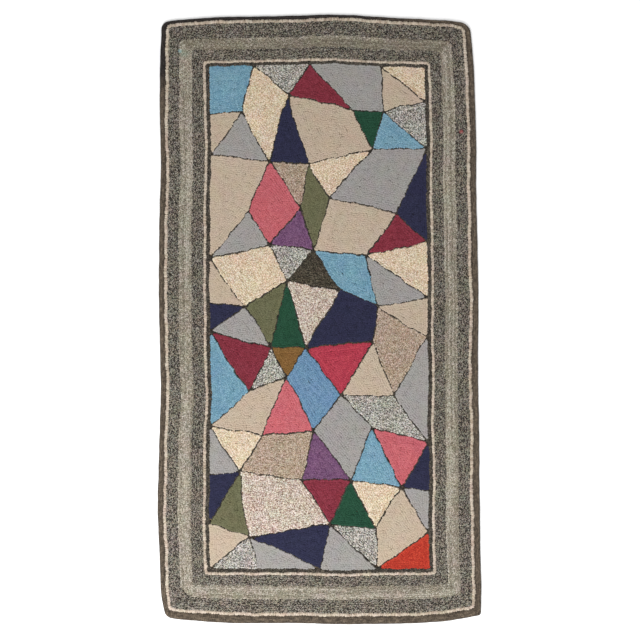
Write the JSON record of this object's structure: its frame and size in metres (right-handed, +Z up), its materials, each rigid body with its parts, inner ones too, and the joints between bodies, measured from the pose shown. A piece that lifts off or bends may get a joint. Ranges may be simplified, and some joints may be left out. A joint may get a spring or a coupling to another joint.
{
  "type": "hooked rug",
  "caption": "Flat rectangular hooked rug with a dense loop pile, concentric border bands, a patchwork field of angular pieces and a woven tape binding round its edge.",
  "frame": {"origin": "under the rug's centre, on the surface it lies on", "axes": "+Z up out of the pile, +Y along the rug's length towards its narrower end, +X across its width"},
  "size_m": [0.8642, 1.6281, 0.0088],
  "materials": {
    "hooked_pile": "dense hooked wool loops, matt",
    "binding_tape": "woven cotton tape, matt"
  },
  "bodies": {
    "root": {"hooked_rug": "hooked_pile", "edge_binding": "binding_tape"}
  },
  "joints": []
}
